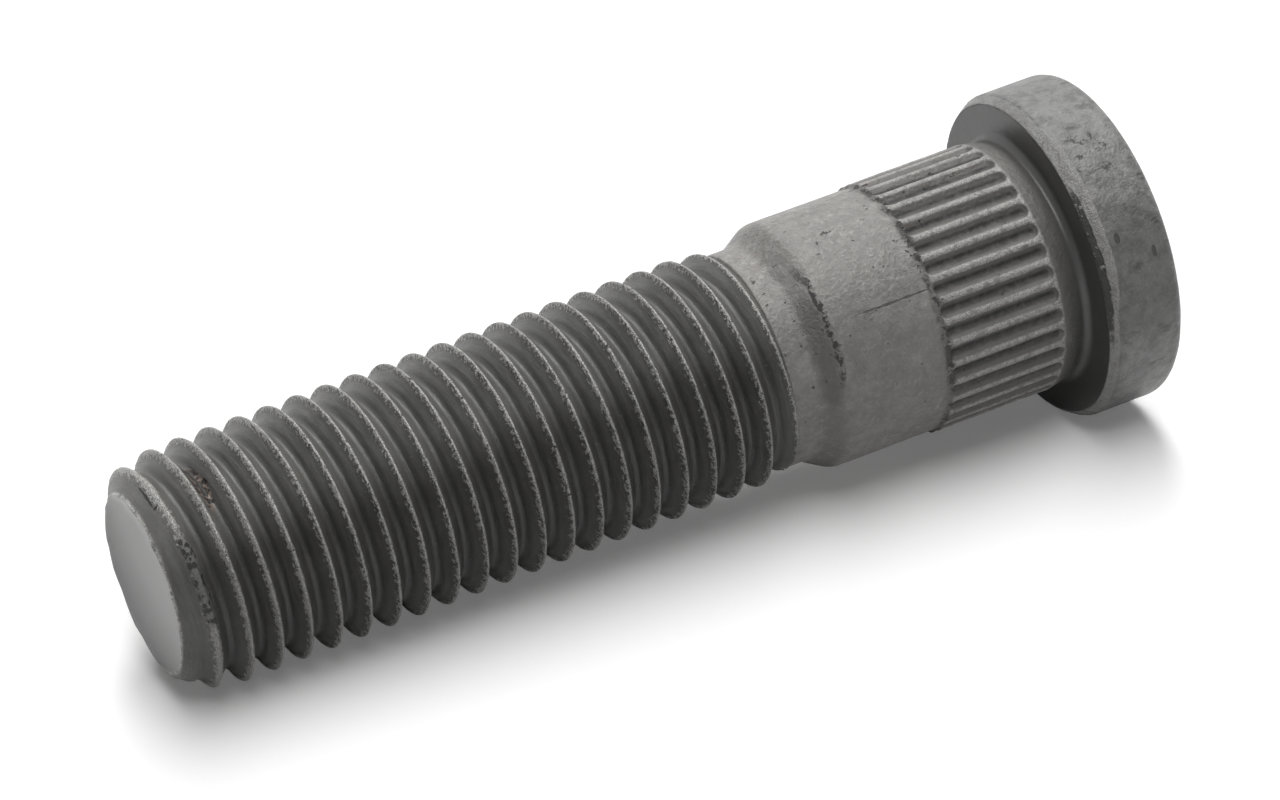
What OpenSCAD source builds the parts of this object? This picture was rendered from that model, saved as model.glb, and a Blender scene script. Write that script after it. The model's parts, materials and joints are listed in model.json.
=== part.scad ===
// Press-in wheel bolt: one piece of steel, forged, turned and thread-rolled.
// It stands on its head. The origin is the centre of the head's outer face,
// and +Z runs along the shank to the point.

/* [Head] */
// Diameter of the head
head_d = 16.58; // [15:0.02:18]
// Thickness of the head, from its outer face to the seat
head_h = 4; // [3:0.1:5]
// Rounding of the rim at the outer face
outer_round = 0.55; // [0.3:0.05:1]
// Width of the trimmed edge round the seat
trim_w = 0.32; // [0.1:0.02:0.5]
// Height of that trimmed edge on the rim
trim_h = 0.5; // [0.2:0.05:0.8]

/* [Splined collar] */
// Diameter over the ribs, which press into the hub
collar_d = 12.69; // [12.6:0.01:13.2]
// Number of ribs round the collar
rib_count = 36; // [24:1:40]
// Length of the grooves between the ribs
groove_l = 6.25; // [4:0.05:8]
// Depth of a groove below the tips of the ribs
groove_depth = 0.3; // [0.2:0.02:0.4]
// Radius of the round tool that presses one groove
groove_r = 0.4; // [0.35:0.01:0.5]
// Turn of the first groove from the +X side, in degrees
groove_turn = 2; // [0:0.1:9.9]
// Plain ring left between the grooves and the relief under the head
ring_l = 0.45; // [0.3:0.05:1]
// Height of the relief under the head, with its fillet
relief_l = 1.05; // [0.8:0.05:1.4]
// Depth of that relief below the ribs
relief_depth = 0.23; // [0.1:0.01:0.3]
// Hollow rounding from the relief to the seat
seat_fillet = 0.4; // [0.2:0.05:0.6]

/* [Pilot shank] */
// Diameter of the plain shank
pilot_d = 12.38; // [12.2:0.01:12.5]
// Length of the plain shank, from the ribs to the edge of its shoulder
pilot_l = 5.35; // [4:0.05:8]
// Length of the cone from the shank down to the neck
shoulder_l = 1.3; // [1:0.05:2]
// Rounding where the cone meets the shank
shoulder_round = 0.8; // [0.3:0.05:1]
// Hollow rounding where the cone meets the neck
neck_fillet = 1; // [0.5:0.05:1.2]

/* [Thread] */
// Outside diameter of the rolled thread
thread_d = 11.74; // [11.6:0.01:11.97]
// Distance from one crest to the next
pitch = 1.5; // [1.5:0.25:1.75]
// Height of the thread from root to crest
thread_h = 0.87; // [0.6:0.01:0.9]
// Width of the flat on the crest
crest_w = 0.12; // [0.1:0.01:0.45]
// Length from the neck to the edge of the end face
thread_l = 32.15; // [28:0.05:40]
// Plain length of the neck between the cone and the thread
neck_l = 0.55; // [0.4:0.05:2]
// Depth of the neck below the middle of the thread
neck_drop = 0.02; // [0:0.01:0.1]
// Length over which the thread fades into the neck
run_out = 3; // [2:0.1:4]
// Angle from the +X side at which a crest meets the neck, in degrees
thread_turn = 47; // [0:1:359]

/* [Point] */
// Diameter of the end face
point_d = 8.69; // [8:0.01:9.4]
// Rise of the crowned end face above its edge
crown = 0.15; // [0.05:0.01:0.3]
// Rise of the point's cone, radius gained for each millimetre of length
point_slope = 1.2; // [0.8:0.05:1.4]
// Height of the thread on the end face, as a share of its full height
point_share = 0.25; // [0.1:0.05:0.5]
// Length over which the thread grows to its full height
lead_in = 2.6; // [2:0.1:4]

/* [Hidden] */
steel = [0.40, 0.39, 0.37];
turn_steps = 34;
lathe_steps = 44;
core_gap = 0.03;

head_r = head_d / 2;
rib_r = collar_d / 2;
pilot_r = pilot_d / 2;
crest_r = thread_d / 2;
root_r = crest_r - thread_h;
blank_r = (crest_r + root_r) / 2;
neck_r = blank_r - neck_drop;
flank_w = thread_h * tan(30);
root_w = pitch - crest_w - 2 * flank_w;

collar_z = head_h + relief_l;
groove_z = collar_z + ring_l;
pilot_z = groove_z + groove_l;
shoulder_z = pilot_z + pilot_l;
cone_z = shoulder_z + shoulder_l;
neck_z = cone_z + neck_l;
point_z = neck_z + thread_l;

// Half section of the head: rim rounded at the outer face and trimmed at the seat
module head_section() {
    polygon([
        [0, 0],
        [head_r - outer_round, 0],
        [head_r, outer_round],
        [head_r, head_h - trim_h],
        [head_r - trim_w, head_h],
        [0, head_h]
    ]);
    intersection() {
        translate([head_r - outer_round, outer_round]) circle(outer_round, $fn = 20);
        square([head_r, outer_round]);
    }
}

// Half section of the collar before its grooves, with the relief under the head
module collar_section() {
    relief_r = rib_r - relief_depth;
    bead = rib_r - pilot_r;
    relief_z = head_h + seat_fillet;
    polygon([
        [0, head_h],
        [relief_r, head_h],
        [relief_r, relief_z],
        [rib_r - relief_depth / 3, collar_z],
        [rib_r, groove_z],
        [rib_r, pilot_z - bead],
        [pilot_r, pilot_z],
        [0, pilot_z]
    ]);
    difference() {
        translate([relief_r, head_h]) square(seat_fillet);
        translate([relief_r + seat_fillet, relief_z]) circle(seat_fillet, $fn = 20);
    }
}

// Half section of the pilot shank, with its shoulder cone and the neck
module pilot_section() {
    cone_angle = atan((pilot_r - neck_r) / shoulder_l);
    edge_z = shoulder_z - shoulder_round * tan(cone_angle / 2);
    hollow_z = cone_z + neck_fillet * tan(cone_angle / 2);
    hollow_l = neck_fillet * sin(cone_angle);
    difference() {
        union() {
            polygon([
                [0, pilot_z],
                [pilot_r, pilot_z],
                [pilot_r, shoulder_z],
                [neck_r, cone_z],
                [neck_r, neck_z],
                [0, neck_z]
            ]);
            translate([neck_r, hollow_z - hollow_l])
                square([neck_fillet * (1 - cos(cone_angle)), hollow_l]);
        }
        // hollow between the cone and the neck
        translate([neck_r + neck_fillet, hollow_z]) circle(neck_fillet, $fn = 40);
        // rounded edge between the shank and the cone
        translate([pilot_r - shoulder_round, edge_z])
            difference() {
                square([2 * shoulder_round, shoulder_round * sin(cone_angle)]);
                circle(shoulder_round, $fn = 40);
            }
    }
}

// Everything made on the lathe: head, collar blank, shank, shoulder and neck
module turned_body() {
    rotate_extrude($fn = lathe_steps) {
        head_section();
        collar_section();
        pilot_section();
    }
}

// One groove of the collar, pressed with a round tool and closed at both ends
module groove() {
    end = groove_r * 0.8;
    translate([rib_r - groove_depth + groove_r, 0, 0])
        rotate_extrude($fn = 14)
            polygon([
                [0, groove_z],
                [groove_r * 0.75, groove_z + end * 0.35],
                [groove_r, groove_z + end],
                [groove_r, pilot_z - end],
                [groove_r * 0.75, pilot_z - end * 0.35],
                [0, pilot_z]
            ]);
}

// Steps along one pitch: root, foot of the flank, head of the flank, end of the crest
step_z = [0, root_w, root_w + flank_w, root_w + flank_w + crest_w];
step_rise = [-1, -1, 1, 1];
steps = len(step_z);

// The rows wind upwards: row r of column c lies c/turn_steps of a pitch higher than in column 0
first_z = neck_z - pitch * (2 + thread_turn / 360) - step_z[2] - crest_w / 2;
rows = steps * ceil((point_z + pitch - first_z) / pitch);
function row_z(row, col) =
    first_z + pitch * (floor(row / steps) + col / turn_steps) + step_z[row % steps];

// How far height z lies inside the run-out, from 0 where it begins to 1 at the neck and below
function run_out_at(z) = min(1, max(0, (neck_z + run_out - z) / run_out)) ^ 2;

// Radius of the blank under the thread, narrowed by the point and by the neck
function blank_at(z) =
    let (back = point_z - z, lead_r = blank_r * 0.95)
    min(blank_r, point_d / 2 + point_slope * back, lead_r + (blank_r - lead_r) * back / lead_in)
        - (neck_drop + core_gap) * run_out_at(z);

// Share of the full thread height that is rolled at height z
function share_at(z) =
    min(1, point_share + (1 - point_share) * max(0, point_z - z) / lead_in) * (1 - run_out_at(z));

function thread_point(row, col) =
    let (z = row_z(row, col),
         r = blank_at(z) + share_at(z) * step_rise[row % steps] * thread_h / 2,
         a = 360 * col / turn_steps)
    [r * cos(a), r * sin(a), z];

// Rolled thread with its core: a sheared grid of rows and columns, closed by a flat foot and a tip
module rolled_thread() {
    last = rows - 1;
    end_col = turn_steps - 1;
    foot_z = first_z - pitch / 2;
    foot_r = blank_at(foot_z);
    grid = [for (row = [0:last]) for (col = [0:end_col]) thread_point(row, col)];
    ring = [for (col = [0:end_col])
        let (a = 360 * col / turn_steps) [foot_r * cos(a), foot_r * sin(a), foot_z]];
    ends = [[0, 0, foot_z], [0, 0, row_z(last, 0) + pitch]];
    ring_at = len(grid);
    foot = ring_at + turn_steps;
    tip = foot + 1;
    // past the last column the grid goes on in column 0, one turn higher
    function at(row, col) = col > end_col ? (row + steps) * turn_steps : row * turn_steps + col;
    skin = [for (col = [0:end_col])
        for (row = [0:last - 1 - (col == end_col ? steps : 0)])
            each [
                [at(row, col), at(row + 1, col + 1), at(row, col + 1)],
                [at(row, col), at(row + 1, col), at(row + 1, col + 1)]
            ]];
    // the steps of one turn that the grid leaves open at its seam, below and above
    low_seam = [for (row = [0:steps - 1])
        [at(0, end_col), at(row + 1, 0), at(row, 0)]];
    high_seam = [for (row = [last - steps:last - 1])
        [at(last, 0), at(row, end_col), at(row + 1, end_col)]];
    low_skirt = [for (col = [0:end_col])
        let (next = (col + 1) % turn_steps)
        each [
            [ring_at + col, at(0, col), ring_at + next],
            [ring_at + next, at(0, col), at(0, next)],
            [foot, ring_at + col, ring_at + next]
        ]];
    high_cap = [for (col = [0:end_col])
        [tip, at(last, (col + 1) % turn_steps), at(last, col)]];
    polyhedron(concat(grid, ring, ends), concat(skin, low_seam, high_seam, low_skirt, high_cap));
}

// Low dome that closes the end face
module end_crown() {
    edge_r = point_d / 2;
    dome_r = (edge_r ^ 2 + crown ^ 2) / (2 * crown);
    translate([0, 0, point_z])
        rotate_extrude($fn = turn_steps)
            intersection() {
                translate([0, crown - dome_r]) circle(dome_r, $fn = 360);
                square([edge_r, crown]);
            }
}

// The thread, cut to its length under the crowned end face
module threaded_end() {
    intersection() {
        rolled_thread();
        union() {
            cylinder(h = point_z, r = head_r, $fn = 16);
            end_crown();
        }
    }
}

module wheel_bolt() {
    color(steel)
    difference() {
        union() {
            turned_body();
            threaded_end();
        }
        for (i = [0:rib_count - 1])
            rotate(groove_turn + 360 * i / rib_count) groove();
    }
}

wheel_bolt();
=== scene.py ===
"""Press-in wheel bolt: the rolled thread and the splined body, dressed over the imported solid."""

import json
import math

import bpy
from mathutils import Matrix, Vector

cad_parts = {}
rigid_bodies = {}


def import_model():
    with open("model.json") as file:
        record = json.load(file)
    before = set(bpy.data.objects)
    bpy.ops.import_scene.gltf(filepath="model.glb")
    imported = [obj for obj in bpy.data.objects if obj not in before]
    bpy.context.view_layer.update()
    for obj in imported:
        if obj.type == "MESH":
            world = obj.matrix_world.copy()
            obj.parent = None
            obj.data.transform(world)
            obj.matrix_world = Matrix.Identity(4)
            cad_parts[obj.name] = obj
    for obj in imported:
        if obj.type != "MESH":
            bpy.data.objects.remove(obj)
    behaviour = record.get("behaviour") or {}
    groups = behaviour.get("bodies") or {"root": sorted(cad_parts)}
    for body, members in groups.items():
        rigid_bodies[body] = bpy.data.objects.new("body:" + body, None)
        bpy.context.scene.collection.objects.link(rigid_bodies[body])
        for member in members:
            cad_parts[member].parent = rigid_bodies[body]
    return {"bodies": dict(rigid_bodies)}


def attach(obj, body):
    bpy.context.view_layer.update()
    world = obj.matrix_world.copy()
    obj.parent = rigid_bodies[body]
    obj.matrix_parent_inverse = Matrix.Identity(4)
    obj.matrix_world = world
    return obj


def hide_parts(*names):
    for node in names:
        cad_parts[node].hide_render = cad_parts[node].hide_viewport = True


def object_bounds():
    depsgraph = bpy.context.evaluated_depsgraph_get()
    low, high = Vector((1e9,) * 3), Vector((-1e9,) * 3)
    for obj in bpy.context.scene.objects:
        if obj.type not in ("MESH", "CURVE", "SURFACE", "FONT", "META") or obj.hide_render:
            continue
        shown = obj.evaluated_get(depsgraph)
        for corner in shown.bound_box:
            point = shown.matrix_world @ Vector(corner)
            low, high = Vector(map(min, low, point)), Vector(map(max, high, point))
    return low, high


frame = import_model()
CAD_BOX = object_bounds()
LENGTH = CAD_BOX[1][2]
HEAD_RADIUS = min(CAD_BOX[1][:2])
BODY = next(iter(frame["bodies"]))

bl_info = {
    "name": "Wheel Bolt",
    "version": (1, 0, 0),
    "blender": (4, 5, 0),
    "location": "3D View > Sidebar > Wheel Bolt",
    "description": "Builds a press-in wheel bolt of phosphated steel on its packed frame",
    "category": "Object",
}

MM = 0.001
# steps of the two meshes round the axis
THREAD_COLUMNS = 224
BODY_COLUMNS = 504
LAMPS = 5
WHITE = (1.0, 1.0, 1.0, 1.0)


def size(name, description, default):
    """A length of the bolt, in metres."""
    return bpy.props.FloatProperty(
        name=name, description=description, default=default, min=0.0, precision=5, unit="LENGTH"
    )


def share(name, description, default, top=1.0):
    """A plain number from 0 up."""
    return bpy.props.FloatProperty(
        name=name, description=description, default=default, min=0.0, max=top
    )


def turn(name, description, degrees):
    """An angle, stored in radians."""
    return bpy.props.FloatProperty(
        name=name, description=description, default=math.radians(degrees), subtype="ANGLE"
    )


def finish_colour(name, description, default):
    """A linear colour."""
    return bpy.props.FloatVectorProperty(
        name=name, description=description, default=default, min=0.0, max=1.0, subtype="COLOR"
    )


class BoltThread(bpy.types.PropertyGroup):
    """Sizes of the rolled thread and its point."""

    diameter: size("Diameter", "Outside diameter of the thread", 11.7 * MM)
    pitch: size("Pitch", "Distance from one crest to the next", 1.5 * MM)
    height: size("Height", "Height of the thread from root to crest", 0.92 * MM)
    root_width: size("Root width", "Width of the rounded root between two flanks", 0.18 * MM)
    crest_width: size("Crest width", "Width of a crest between its flanks", 0.07 * MM)
    crest_drop: size("Crest drop", "Depth of one crest below the end face at +X", 3.845 * MM)
    point_diameter: size("Point diameter", "Diameter of the end face", 8.7 * MM)
    crown: size("Crown", "Rise of the crowned end face above its edge", 0.15 * MM)
    lead_in: size("Lead-in", "Length over which the thread grows to full height", 2.6 * MM)
    run_out: size("Run-out", "Length over which the thread fades towards the neck", 3.0 * MM)
    neck_edge: size("Neck edge", "Height of the neck's torn edge", 19.65 * MM)
    burr: size("Burr", "Height of the torn metal on the crests", 0.05 * MM)


class BoltBody(bpy.types.PropertyGroup):
    """Sizes of the head, the splined collar and the pilot shank."""

    head_height: size("Head height", "Height of the seat above the outer face", 4.0 * MM)
    outer_round: size("Outer rounding", "Rounding of the rim at the outer face", 0.55 * MM)
    trim_width: size("Trim width", "Width of the trimmed edge round the seat", 0.32 * MM)
    trim_height: size("Trim height", "Height of the trimmed edge on the rim", 0.5 * MM)
    collar_diameter: size("Collar diameter", "Diameter over the ribs", 12.69 * MM)
    groove_depth: size("Groove depth", "Depth of a groove below the ribs", 0.30 * MM)
    groove_radius: size("Groove radius", "Radius of a groove's round bottom", 0.40 * MM)
    groove_length: size("Groove length", "Length of the grooves", 6.25 * MM)
    groove_turn: turn("Groove turn", "Angle of the first groove from the +X side", 2.0)
    ribs: bpy.props.IntProperty(
        name="Ribs", description="Number of ribs on the collar", default=36, min=3
    )
    seat_fillet: size("Seat fillet", "Hollow rounding from the relief to the seat", 0.4 * MM)
    relief_depth: size("Relief depth", "Depth of the relief under the head", 0.23 * MM)
    relief_length: size("Relief length", "Length of the relief, with its fillet", 1.05 * MM)
    ring_length: size("Ring length", "Plain ring between the relief and the grooves", 0.45 * MM)
    pilot_diameter: size("Pilot diameter", "Diameter of the plain shank", 12.38 * MM)
    pilot_length: size("Pilot length", "Length of the plain shank", 5.35 * MM)
    shoulder_length: size("Shoulder length", "Length of the cone down to the neck", 1.3 * MM)
    shoulder_round: size("Shoulder rounding", "Rounding from the shank to the cone", 0.8 * MM)
    neck_diameter: size("Neck diameter", "Diameter of the neck", 10.83 * MM)
    neck_fillet: size("Neck fillet", "Hollow rounding from the cone to the neck", 1.0 * MM)
    wear: size("Wear", "Height of the dents and torn metal on the forged head", 0.05 * MM)


class BoltFinish(bpy.types.PropertyGroup):
    """Colours of the phosphated steel, some also laid as painted shade."""

    thread: finish_colour("Thread", "Dark coat on the flanks of the thread", (0.15, 0.149, 0.14))
    # Its lighter and darker sides on the end face are a painted reflection.
    face: finish_colour("End face", "Coat on the end face", (0.4, 0.402, 0.397))
    shank: finish_colour("Shank", "Pale coat on the turned shank", (0.262, 0.254, 0.24))
    # A darker copy of it greys the cone, more on the front as painted shade.
    collar: finish_colour("Collar", "Coat on the ribs and beside them", (0.16, 0.156, 0.148))
    # A darker copy of the head's colour is laid as painted shade on the shank's near side and on
    # the ring below the ribs.
    head: finish_colour("Head", "Coat on the rim of the head", (0.18, 0.18, 0.176))
    # Also laid as painted shade on the collar's near side and the front of the rim.
    seat: finish_colour("Seat", "Smooth dark coat on the seat of the head", (0.08, 0.079, 0.077))
    bare: finish_colour("Bare metal", "Metal worn bright on crests and ribs", (0.7, 0.69, 0.665))
    # Near-black also laid as painted shade on the near side, in the thread's roots and in the
    # grooves.
    soot_and_shade: finish_colour("Soot", "Dark coat left in grooves and pits", (0.014, 0.0135, 0.013))
    rust: finish_colour("Rust", "Old rust in a scar of the thread", (0.185, 0.14, 0.118))
    blush: finish_colour("Blush", "Brownish tint of the coat", (0.225, 0.18, 0.16))


class BoltStage(bpy.types.PropertyGroup):
    """Camera, lamps and floor."""

    lens: bpy.props.FloatProperty(
        name="Lens", description="Focal length", default=165.97, min=10.0, unit="CAMERA"
    )
    place: bpy.props.FloatVectorProperty(
        name="Place", description="Place of the camera", default=(0.006, -0.265131, 0.116932),
        precision=5, subtype="TRANSLATION",
    )
    look: bpy.props.FloatVectorProperty(
        name="Look", description="Direction in which the camera looks",
        default=(-0.021208, 0.944801, -0.326957), subtype="DIRECTION",
    )
    top: bpy.props.FloatVectorProperty(
        name="Top", description="Direction that is up in the picture",
        default=(0.940469, -0.092107, -0.327161), subtype="DIRECTION",
    )
    paper: bpy.props.FloatVectorProperty(
        name="Paper", description="Colour of the paper as the camera and reflections see it",
        default=(1.14, 1.14, 1.14), min=0.0,
    )
    floor: finish_colour("Floor", "Colour of the light the paper throws back", (0.5, 0.5, 0.5))
    foot: size("Foot", "Height on the head's rim at which it touches the paper", 3.5 * MM)
    key: share("Key", "Strength of all the soft lamps together", 3.5, 20.0)
    spread: turn("Spread", "Width of each soft lamp", 20)
    apart: turn("Apart", "Angle between two neighbouring lamps of the row", 18)
    behind: turn("Behind", "Lean of the middle lamp to the far side of the bolt", 1)
    beside: turn("Beside", "Lean of all the lamps to the bolt's head", 4)
    upward: turn("Upward", "Angle from the +X side to the top of the lying bolt, clockwise", 30)
    glow: share("Glow", "White that the paper adds to its own shadow before the camera", 0.13)
    room: share("Room", "Brightness of the room behind the camera in reflections", 0.2)
    fill: share("Fill", "Strength of the light from all round", 0.03, 2.0)


class Wire:
    """A socket of a node tree, on which Python's operators add Math nodes; without one, a start."""

    def __init__(self, tree, socket):
        self.tree = tree
        self.socket = socket

    def node(self, kind, settings=None, sockets=None, output=0):
        """Adds any other node: its type, its settings, then the values or links of its sockets."""
        made = self.tree.nodes.new(kind)
        for name, value in (settings or {}).items():
            setattr(made, name, value)
        for name, value in (sockets or {}).items():
            if isinstance(value, Wire):
                self.tree.links.new(value.socket, made.inputs[name])
            else:
                made.inputs[name].default_value = value
        return Wire(self.tree, made.outputs[output]) if made.outputs else None

    def math(self, operation, *values):
        sockets = dict(enumerate((self, *values)))
        return self.node("ShaderNodeMath", {"operation": operation}, sockets)

    def vector(self, operation, *values, output=0):
        sockets = dict(enumerate((self, *values)))
        return self.node("ShaderNodeVectorMath", {"operation": operation}, sockets, output)

    def __add__(self, other):
        return self.math("ADD", other)

    __radd__ = __add__

    def __sub__(self, other):
        return self.math("SUBTRACT", other)

    def __rsub__(self, other):
        return self.math("MULTIPLY_ADD", -1.0, other)

    def __mul__(self, other):
        return self.math("MULTIPLY", other)

    __rmul__ = __mul__

    def __truediv__(self, other):
        return self.math("DIVIDE", other)

    def __rtruediv__(self, other):
        return self.math("POWER", -1.0) * other

    def __abs__(self):
        return self.math("ABSOLUTE")

    def least(self, other):
        return self.math("MINIMUM", other)

    def most(self, other):
        return self.math("MAXIMUM", other)

    def floor(self):
        return self.math("FLOOR")

    def clamp(self):
        return self.most(0.0).least(1.0)

    def smooth(self, low, high):
        """0 at low and 1 at high, with an eased step between; low may be the larger."""
        sockets = {"Value": self, "From Min": low, "From Max": high}
        return self.node("ShaderNodeMapRange", {"interpolation_type": "SMOOTHSTEP"}, sockets)

    def blend(self, first, second):
        """Mixes two colours, with self as the factor."""
        return self.node(
            "ShaderNodeMix", {"data_type": "RGBA"}, {"Factor": self, 6: first, 7: second}, output=2
        )

    def split(self):
        made = self.node("ShaderNodeSeparateXYZ", sockets={0: self})
        return [Wire(self.tree, s) for s in made.socket.node.outputs]

    def combine(self, x, y, z):
        """A vector of three numbers."""
        return self.node("ShaderNodeCombineXYZ", sockets={"X": x, "Y": y, "Z": z})

    def on_lathe(self, radius, height):
        """The point at this angle round the axis, at a radius and a height."""
        return self.combine(self.math("COSINE") * radius, self.math("SINE") * radius, height)

    def noise(self, scale, detail, rough, stretch=(1.0, 1.0, 1.0)):
        """Noise on this vector wire, which is in millimetres; scale is in grains a millimetre."""
        where = self.vector("MULTIPLY", stretch)
        sockets = {"Vector": where, "Scale": scale, "Detail": detail, "Roughness": rough}
        return self.node("ShaderNodeTexNoise", {}, sockets, "Fac")


class TreeInputs:
    """Named inputs of a geometry tree, and the values a modifier gives them."""

    def __init__(self, name):
        self.tree = bpy.data.node_groups.new(name, "GeometryNodeTree")
        for socket, side in (("Geometry", "OUTPUT"), ("Section", "INPUT")):
            self.tree.interface.new_socket(socket, in_out=side, socket_type="NodeSocketGeometry")
        self.values = {}
        self.group = self.tree.nodes.new("NodeGroupInput")

    def number(self, name, value):
        kind = "NodeSocketInt" if isinstance(value, int) else "NodeSocketFloat"
        made = self.tree.interface.new_socket(name, in_out="INPUT", socket_type=kind)
        self.values[made.identifier] = value
        return Wire(self.tree, self.group.outputs[name])

    def geometry(self):
        return Wire(self.tree, self.group.outputs["Section"])

    def finish(self, result):
        out = self.tree.nodes.new("NodeGroupOutput")
        self.tree.links.new(result.socket, out.inputs[0])

    def run(self, piece):
        """Evaluates the tree on the piece's section and keeps the result as a plain mesh."""
        modifier = piece.modifiers.new("Form", "NODES")
        modifier.node_group = self.tree
        for identifier, value in self.values.items():
            modifier[identifier] = value
        piece.update_tag()
        bpy.context.view_layer.update()
        evaluated = piece.evaluated_get(bpy.context.evaluated_depsgraph_get())
        made = bpy.data.meshes.new_from_object(evaluated)
        section = piece.data
        piece.modifiers.remove(modifier)
        piece.data = made
        made.name = piece.name
        bpy.data.meshes.remove(section)
        turn_outwards(made)


def turn_outwards(mesh):
    """Flips the faces of a closed mesh if the volume that they enclose comes out below zero."""
    mesh.calc_loop_triangles()
    corners = [[mesh.vertices[i].co for i in face.vertices] for face in mesh.loop_triangles]
    if sum(a.dot(b.cross(c)) for a, b, c in corners) < 0:
        mesh.flip_normals()


def section_piece(name, points):
    """An object whose mesh is a row of points: x is the radius and z the height, in millimetres."""
    mesh = bpy.data.meshes.new(name)
    rows = [(radius, 0.0, height) for radius, height in points]
    mesh.from_pydata(rows, [(i, i + 1) for i in range(len(rows) - 1)], [])
    piece = bpy.data.objects.new(name, mesh)
    bpy.context.scene.collection.objects.link(piece)
    return piece


def straight(first, last, steps):
    """Points on a line from first up to, but not with, last."""
    return [
        (first[0] + (last[0] - first[0]) * i / steps, first[1] + (last[1] - first[1]) * i / steps)
        for i in range(steps)
    ]


def arc(centre, radius, start, end, steps):
    """Points on an arc, without its last one; angles in degrees from the radius axis."""
    angles = [math.radians(start + (end - start) * i / steps) for i in range(steps)]
    return [(centre[0] + radius * math.cos(a), centre[1] + radius * math.sin(a)) for a in angles]


def thread_section(thread):
    """One pitch of the thread from root to root, with heights counted from the crest's middle."""
    crest = thread.diameter / 2 / MM
    height = thread.height / MM
    half = thread.crest_width / 2 / MM
    pitch = thread.pitch / MM
    foot = (pitch - thread.root_width / MM) / 2
    bulge = 0.12
    # depth below the crest and distance from its middle: the crest's rounding, then one flank
    flank = [(0.006, half * 0.7), (0.04, half + 0.03)]
    for a in (0.2, 0.42, 0.65, 0.85, 0.96):
        flank.append((height * a, half + (foot - half) * (a - bulge * math.sin(math.pi * a))))
    rising = [(crest - depth, -away) for depth, away in reversed(flank)]
    falling = [(crest - depth, away) for depth, away in flank]
    return [(crest - height, -pitch / 2), *rising, (crest, 0.0), *falling]


def lathe_grid(tree, columns, rows):
    """A grid of columns and rows: the wires for its mesh and for each point's column and row."""
    index = tree.node("GeometryNodeInputIndex")
    grid = tree.node(
        "GeometryNodeMeshGrid",
        sockets={"Size X": 1.0, "Size Y": 1.0, "Vertices X": columns + 1, "Vertices Y": rows},
    )
    column = ((index + 0.5) / rows).floor()
    return grid, column, index - column * rows


def section_at(tree, index):
    """Radius and height of the section's point with this index."""
    position = tree.node("GeometryNodeInputPosition")
    sampled = tree.node(
        "GeometryNodeSampleIndex",
        {"data_type": "FLOAT_VECTOR"},
        {"Geometry": tree, "Value": position, "Index": index},
    )
    radius, _, height = sampled.split()
    return radius, height


def place_on_lathe(tree, grid, around, radius, height, material):
    """Puts every grid point at its angle, radius and height, then closes the seam and the poles."""
    spot = around.on_lathe(radius, height).vector("MULTIPLY", (MM,) * 3)
    placed = tree.node("GeometryNodeSetPosition", sockets={"Geometry": grid, "Position": spot})
    closed = tree.node(
        "GeometryNodeMergeByDistance", sockets={"Geometry": placed, "Distance": 0.0015 * MM}
    )
    smooth = tree.node("GeometryNodeSetShadeSmooth", sockets={"Geometry": closed})
    real = tree.node("GeometryNodeRealizeInstances", sockets={"Geometry": smooth})
    return tree.node("GeometryNodeSetMaterial", sockets={"Geometry": real, "Material": material})


def end_face(radius, z, where, end_z, crown):
    """Radius and height near the end face: what lies past its edge shrinks to a shallow crown."""
    past = ((z - end_z) / 0.8).clamp()
    ragged = (where.noise(1.6, 3.0, 0.6) - 0.5) * 0.1 * (1.0 - abs(z - end_z) / 0.2).clamp()
    inward = 1.0 - past
    return (radius + ragged) * inward, z.least(end_z) + crown * (1.0 - inward * inward)


def torn_neck(radius, z, where, edge_z, inside_r):
    """Radius at the neck's edge, where the thread is torn off and dives into the neck."""
    jag = (where.noise(1.3, 3.0, 0.7, (1.0, 1.0, 0.05)) - 0.5) * 0.22
    dive = ((edge_z + jag - z) / 0.1).clamp()
    return radius + (radius.least(inside_r) - radius) * dive


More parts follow.
